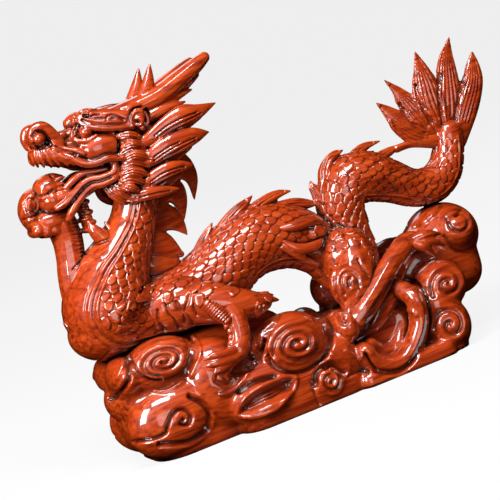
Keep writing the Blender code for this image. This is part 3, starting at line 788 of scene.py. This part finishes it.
def makeMane():
    egg(-62, 0, 236, 24, 21, 30)
    grooves = []
    for row in mane["tufts"]:
        for offset in (-1.5, 0.6):
            grooves.append(bend([(x + offset * 0.4, z + offset) for x, z in row])[1:-2])
    for side in (near, far):
        for row in mane["locks"]:
            stroke(fromView(row, side), flat=0.55, steps=6, sides=6)
        for row in mane["backs"]:
            stroke(fromView(row, side), flat=0.8, steps=6)
        for step, row in enumerate(mane["tufts"]):
            widths = np.interp(np.linspace(0, 1, len(row)), (0, 0.4, 0.75, 1), (3.4, 4.2, 3.2, 0.8))
            depths = np.interp(np.arange(len(row)), (0, 1, len(row) - 1), (22, 26, 25))
            depths = depths - (row[0][0] < -92) * 8 - step % 2 * 2
            rows = [(x, z, y, wide) for (x, z), y, wide in zip(row, depths, widths)]
            stroke(fromView(rows, side), flat=0.7)
    piece = fuseForms("mane", mane["voxel"], 1)
    for side in (near, far):
        drawGroup(piece, mane["lockGrooves"], side, (12, 60))
        drawLines(piece, grooves, 0.9, 0.9, side, within=(10, 60))
    return piece


finishPiece(makeMane(), mane["most"])

# Legs
legs = {
    "voxel": 0.7,
    "most": 120000,
    "pearl": 9.5,  # radius
    "pawOff": 6,  # of the raised paw, towards the far side
    "arm": (  # x, z as seen, depth, radius
        ((-45, 101, 38, 9), (-38, 93, 42, 9.5), (-34.5, 84, 46, 9), (-34, 74, 49, 8),
         (-35.5, 64, 51, 7.5), (-40, 56, 53, 7.5)),
        ((-53, 100, 44, 5), (-48, 92, 48, 6), (-43, 84, 50, 5)),
        ((-42, 57, 54, 4.8), (-54, 57.5, 58, 3.6), (-63, 59.5, 58, 3.2), (-71, 59, 56, 1)),
        ((-45, 52, 55, 4.8), (-56, 51.8, 59, 3.6), (-65, 53, 59, 3), (-72, 54, 57, 1)),
        ((-48, 50, 55, 4.4), (-58, 46.8, 59, 3.4), (-65, 46, 59, 2.6), (-68, 40, 57, 0.9)),
        ((-50, 49, 54, 3.8), (-57, 42.5, 58, 2.8), (-57, 36, 58, 0.9)),
        ((-34, 88, 40, 6.5), (-20, 89, 43, 5.6), (-6, 88, 43, 4.6), (5, 83.5, 41, 1.2)),
        ((-32, 95, 37, 4), (-20, 95, 39, 3.6), (-8, 92.5, 39, 2.6), (2, 89, 38, 1)),
        ((-37.5, 93, 46, 1.8), (-34.5, 87, 49, 2.2), (-28, 83, 49, 2), (-17, 82, 47, 1.4))),
}


def makeLegs():
    off = legs["pawOff"]
    # Raised paw: a finger curls over the pearl, knuckles below, the wrist runs down into the chest.
    egg(-163, off, 221, legs["pearl"])
    stroke([(-157, off, 229, 4.5), (-165, off, 225.5, 6), (-169.5, off, 216, 6.5), (-167, off, 206, 6.5),
            (-160, off, 200, 7)], flat=1.7)
    egg(-154, off, 204, 17, 13, 11)
    for reach in (-8, 0, 8):
        for x, z, radius in ((-167, 200, 5), (-160.5, 197.5, 5), (-154, 197, 4.5)):
            egg(x, off + reach, z, radius)
    stroke([(-146, off, 200, 13), (-145, off, 186, 12.5), (-147, off, 172, 12), (-149, off, 160, 13),
            (-150, off, 148, 14), (-150, off, 134, 15)], flat=0.9)
    for step in range(6):
        egg(-128 + step % 2 * 2, 0, 189 + step * 4.2, 6, 9, 3)
    stroke([(-116, -6, 164, 6), (-120, -8, 176, 7), (-126, -8, 187, 5), (-128, -7, 195, 1.4)], flat=1.1)
    stroke([(-110, -6, 162, 5), (-111, -8, 176, 4.5), (-115, -6, 190, 1.2)], flat=1.1)
    # Near foreleg with its ribbed pad and the row of beads down to the claws.
    for row in legs["arm"]:
        stroke(fromView(row, near), flat=0.8)
    egg(*placed(-46, 54, 51, near), 9, 6, 7)
    for step, (x, z) in enumerate(bend([(-44, 80), (-41.5, 73), (-43.5, 66), (-47, 60)], 3)):
        egg(*placed(x + 1.2 * (-1) ** step, z, 50, near), 2.5)
    # Hind legs. The far one stands further back and lower.
    for side, back, drop in ((near, 0, 0), (far, 14, 9)):
        for line in (((32, 47, 44, 3), (48, 48, 54, 9), (68, 47, 68, 9.5), (88, 44, 83, 9),
                      (108, 38, 94, 9)),
                     ((46, 36, 38, 5), (62, 37, 46, 10), (82, 35, 60, 11), (100, 30, 77, 9))):
            stroke([(x + back, side * y, z - drop, wide) for x, y, z, wide in line])
        egg(116 + back, side * 34, 95 - drop, 14, 11, 9)
        for x, z in ((143, 84), (142, 94), (132, 78)):
            stroke([(116 + back, side * 38, 95 - drop, 6),
                    ((x + 116) / 2 + back, side * 44, (z + 100) / 2 - drop, 4.6),
                    (x + back, side * 42, z - drop, 1.4)])
        stroke([(12, side * 24, 141, 2), (28, side * 27, 139, 4.5), (44, side * 25, 138, 4.5),
                (56, side * 20, 131, 2)])
        stroke([(14, side * 26, 131, 2), (24, side * 28, 121, 4.5), (40, side * 26, 118, 4.5),
                (52, side * 20, 124, 2)])
        stroke([(12, side * 27, 126, 2), (24, side * 25, 115, 3.4), (38, side * 22, 102, 2)])
    piece = fuseForms("legs", legs["voxel"])
    ribs = []
    for step in range(9):
        x, z = -53 + 1.3 * step, 100 - 2.1 * step
        ribs.append([(x - 4.5, z - 2), (x + 4.5, z + 2.6)])
    drawLines(piece, ribs, 1.1, 1.1, near, within=(34, 60))
    # A cut along the shank sets its top face off from its underside.
    shank = bend([(52, 33), (60, 31), (70, 32.5), (78, 41), (86, 49), (94, 54.5), (102, 59), (109, 64)])
    for side in (near, far):
        drawLines(piece, [shank], 4.0, 3.4, side, within=(26, 70))
    # Ribs of the wrist, the rim of the pearl and two folds below it.
    wrist = [[(-141, 197.6 - 3 * step), (-131, 196.2 - 3 * step)] for step in range(10)]
    for step in range(6):
        wrist.append([(-127, 170.5 - 2.6 * step + 6), (-111, 172.5 - 2.6 * step + 4)])
    drawLines(piece, wrist, 1.0, 1.0, near, within=(-20, 20))
    folds = [scroll(-165.5, 221, 5.2, 1.0, inner=1), bend([(-175, 212), (-166, 212), (-158, 216)]),
             bend([(-150, 163), (-140, 168), (-130, 171)])]
    drawLines(piece, folds, 1.3, 1.3, near, within=(-20, 20))
    return piece


finishPiece(makeLegs(), legs["most"])

# Plinth
plinth = {
    "voxel": 1.1,
    "most": 175000,
    "deep": 62.0,  # to each side of the middle plane
    "lobes": (  # x, y, z, then half sizes along them, with y and its size as shares of deep
        (-114, 0.40, 74, 31, 0.36, 20), (-143, 0.26, 72, 14, 0.38, 17), (-118, 0.40, 28, 38, 0.36, 30),
        (-74, 0.44, 42, 32, 0.38, 38), (-12, 0.64, 54, 31, 0.40, 25), (-48, 0.68, 22, 31, 0.34, 22),
        (5, 0.70, 17, 19, 0.32, 19), (36, 0.60, 50, 13, 0.36, 15), (132, 0.54, 52, 23, 0.36, 22),
        (124, 0.64, 21, 21, 0.36, 24), (165, 0.38, 90, 18, 0.30, 17)),
    "cavities": (8.0, 8.0, (  # width and depth, then the lines of x, z
        ((-48, 43), (-36, 43), (-27, 50), (-17, 63), (0, 76)),)),
    "bowls": (5.5, 7.0, (
        ((-53, 9), (-40, 14), (-24, 16.5), (-8, 16)),
        ((-51, 8), (-37, 11), (-22, 12.5), (-8, 14)),
        ((-48, 6.5), (-34, 8), (-20, 9), (-9, 12)))),
    "bounds": (3.5, 5.0, (  # edges of the cloud masses
        ((-160, 58), (-150, 57.5), (-140, 62), (-133, 70), (-131, 82)),
        ((-130, 84), (-129, 72), (-125, 64), (-118, 57.5), (-108, 54), (-98, 53.5), (-88, 57),
         (-81, 63), (-78, 72), (-79, 82)),
        ((-92, 36), (-84, 27), (-81, 17), (-85, 7), (-93, 3), (-104, 1), (-116, 4), (-128, 8)),
        ((32, 58), (38, 54), (40, 45), (38, 35), (32, 27), (22, 22), (10, 20), (-2, 22), (-12, 30),
         (-18, 38), (-20, 48), (-17, 56)),
        ((-52, 25), (-40, 27), (-28, 27), (-18, 25)),
        ((14, 6), (17, 14), (24, 18), (32, 18), (38, 14), (42, 6)),
        ((64, 14), (68, 0), (78, -7), (90, -10), (104, -6), (116, 4), (126, 16), (131, 28), (131, 45),
         (127, 56), (118, 63)))),
    "windings": (2.6, 3.8, (  # inner turns of the scrolls
        ((-148, 18), (-140, 16), (-130, 14), (-121, 15), (-117, 20), (-113, 25), (-106, 29),
         (-99, 27), (-96, 20), (-100, 14.5), (-106, 17), (-103, 20)),
        ((174, 98), (174, 92), (177, 86), (184, 83), (191, 85), (194, 92), (190, 99), (183, 98)))),
    "cuts": (2.2, 2.0, (
        ((-68, 40), (-62, 34), (-57, 33), (-54, 36)),
        ((11, 9), (11, 0), (12, -10)),
        ((56, 80), (57, 70), (60, 63), (66, 58)),
        ((63, 74), (63, 80), (65, 83), (70, 84)),
        ((79, 90), (80, 82), (82, 74), (85, 65)),
        ((44, 2), (56, 3), (62, 0)),
        ((140, 101), (152, 100), (163, 104), (172, 110)),
        ((166, 84), (170, 72), (180, 66), (192, 66)))),
    "rolls": (3.0, -1.5, (
        ((-147, 68), (-140, 74), (-134, 82)),
        ((-118, 50), (-112, 47.5), (-103, 47), (-94, 49)),
        ((-74, 80), (-71, 72), (-73, 64), (-79, 57), (-85, 51)),
        ((-67, 28), (-61, 26.5), (-54, 28), (-45, 32), (-40, 35)),
        ((-59, 8), (-52, 15), (-44, 19.5), (-33, 21.5), (-18, 22), (-4, 20), (-1, 17), (-5, 10),
         (-14, 5), (-24, 0), (-37, -1), (-48, 1), (-57, 5), (-59, 8)),
        ((34, 27), (40, 20), (45, 14), (47, 9)),
        ((49, 24), (54, 17), (58, 12), (61, 14)),
        ((40, 66), (55, 60)),
        ((100, 40), (110, 38), (118, 33), (119, 29)))),
}


def makePlinth():
    deep = plinth["deep"]
    block(-139, -50, -0.62 * deep, 0.62 * deep, -22, 62, 24)
    egg(-105, 0, 32, 50, deep * 0.74, 41)
    block(-146, -45, -0.42 * deep, 0.42 * deep, 10, 86, 12)
    egg(-119, 0, 52, 41, deep * 0.55, 27)
    block(-72, 138, -0.6 * deep, 0.93 * deep, -14, 56, 17)
    block(-72, 40, -0.93 * deep, 0, -14, 52, 18)
    block(104, 138, -0.9 * deep, 0, -14, 56, 16)
    block(30, 120, -1.0 * deep, 0, -14, 13, 9)
    block(122, 186, -0.5 * deep, 0.5 * deep, 34, 92, 22)
    egg(164, 0, 86, 31, deep * 0.58, 28)
    stroke([(106, 0, 54, 14), (126, 0, 74, 16), (150, 0, 88, 18)], flat=1.6)
    for side in (near, far):
        for x, y, z, wide, thick, high in plinth["lobes"]:
            egg(x, side * y * deep, z, wide, thick * deep, high)
    lip = ((42, 28), (46, 17), (55, 11), (65, 9), (76, 12), (86, 20), (94, 31), (97, 42), (97, 54),
           (92, 63), (82, 69), (72, 70))
    lipDepths = np.interp(range(len(lip)), (0, 8, len(lip) - 1), (0.86, 0.86, 0.3))
    stroke([(x, near * deep * share, z, 8) for (x, z), share in zip(lip, lipDepths)], flat=1.2, sides=8)
    arch = ((52, 30), (62, 20), (73, 18), (84, 26), (90, 38), (84, 46), (72, 44))
    stroke([(x, near * deep * (0.74 - 0.05 * i), z, 6.0) for i, (x, z) in enumerate(arch)], sides=8)
    piece = fuseForms("cloudPlinth", plinth["voxel"], 24)
    cutFlat(piece)
    for side in (near, far):
        for name in ("cavities", "bowls", "bounds", "windings", "cuts", "rolls"):
            drawGroup(piece, plinth[name], side, (6, 90))
        curls = [scroll(-103, 70, 20, 2.1, start=250, tall=0.62, turn=-1, lean=-4),
                 scroll(11, 43, 25, 2.4, start=185, tall=0.74, turn=-1),
                 scroll(28, 4, 11, 1.5, start=100, tall=1.15, turn=-1),
                 scroll(157, 45, 18, 1.6, start=200, tall=0.86, turn=-1),
                 scroll(148, 10, 17, 1.3, start=170, turn=-1),
                 scroll(56, 49, 7, 1.1, start=60)]
        drawLines(piece, curls, 3.0, 3.2, side, within=(12, 90))
    return piece


# The underside is sawn flat at z = 0.
def cutFlat(piece):
    selectOnly(piece)
    bpy.ops.object.mode_set(mode="EDIT")
    bpy.ops.mesh.select_all(action="SELECT")
    bpy.ops.mesh.bisect(plane_co=(0, 0, 0), plane_no=(0, 0, -1), clear_outer=True, use_fill=True,
                        threshold=1e-6)
    bpy.ops.object.mode_set(mode="OBJECT")


finishPiece(makePlinth(), plinth["most"])

# Setting: an evenly pale floor, four soft lamps and the camera.
setting = {
    "floorColour": "4A4A4A",
    "floorRadius": 9,  # m
    "floorRim": 8.2,  # m, width of the ring round the middle of the floor
    "paleness": 0.86,  # brightness of the floor and the world
    "camera": eyePoint,
    "aim": (-5.0, 0.0, 130.0),
    "roll": -17.8,  # degrees
    "lens": 115.1,
    "lamps": (  # name, place, aim and size in metres, watts
        ("leftWindow", (-0.95, -0.6, 0.75), (-0.03, 0, 0.14), (0.4, 0.8), 21),
        ("topSoftbox", (-0.2, -0.75, 1.35), (0, 0, 0.12), (0.8, 0.35), 20),
        ("frontFill", (-0.3, -1.8, 0.4), (0, 0, 0.12), (0.9, 0.9), 6),
        ("backFill", (0.2, 1.7, 1.5), (0, 0, 0.12), (0.9, 0.9), 5)),
}


def makeFloor():
    deselectAll()
    bpy.ops.mesh.primitive_circle_add(vertices=96, radius=setting["floorRadius"], fill_type="NGON")
    floor = bpy.context.object
    floor.name = "floor"
    bpy.ops.object.mode_set(mode="EDIT")
    bpy.ops.mesh.select_all(action="SELECT")
    bpy.ops.mesh.inset(thickness=setting["floorRim"])
    bpy.ops.object.mode_set(mode="OBJECT")
    paint = bpy.data.materials.new("mattWhitePaint")
    paint.use_nodes = True
    surface = paint.node_tree.nodes["Principled BSDF"]
    surface.inputs["Base Color"].default_value = colour(setting["floorColour"])
    surface.inputs["Roughness"].default_value = 0.9
    # Lit from below like a photographer's light table, so that it stays evenly pale.
    surface.inputs["Emission Color"].default_value = (1, 1, 1, 1)
    surface.inputs["Emission Strength"].default_value = setting["paleness"]
    floor.data.materials.append(paint)
    # The lacquer mirrors the lamps and not the pale floor, as with black cards round a glossy thing.
    floor.visible_glossy = False
    floor.visible_diffuse = False


def addLamp(name, place, aim, size, power):
    data = bpy.data.lights.new(name, "AREA")
    data.shape = "RECTANGLE"
    data.size, data.size_y = size
    data.energy = power
    lamp = bpy.data.objects.new(name, data)
    lamp.location = place
    lamp.rotation_euler = (Vector(aim) - Vector(place)).to_track_quat("-Z", "Y").to_euler()
    bpy.context.scene.collection.objects.link(lamp)


def addCamera():
    data = bpy.data.cameras.new("camera")
    data.lens = setting["lens"]
    data.sensor_width = 36
    camera = bpy.data.objects.new("camera", data)
    place = Vector(setting["camera"]) * mm
    look = (Vector(setting["aim"]) * mm - place).to_track_quat("-Z", "Y").to_matrix()
    turned = look @ Matrix.Rotation(math.radians(setting["roll"]), 3, "Z")
    camera.matrix_world = Matrix.Translation(place) @ turned.to_4x4()
    bpy.context.scene.collection.objects.link(camera)
    bpy.context.scene.camera = camera


# The world is as pale as the floor and is seen by the camera alone.
def addWorld():
    world = bpy.data.worlds.new("studio")
    world.use_nodes = True
    background = world.node_tree.nodes["Background"]
    background.inputs["Color"].default_value = (1, 1, 1, 1)
    background.inputs["Strength"].default_value = setting["paleness"]
    world.cycles_visibility.diffuse = False
    world.cycles_visibility.glossy = False
    bpy.context.scene.world = world


makeFloor()
for lamp in setting["lamps"]:
    addLamp(*lamp)
addCamera()
addWorld()
bpy.context.scene.view_settings.view_transform = "Standard"
print("setting done")
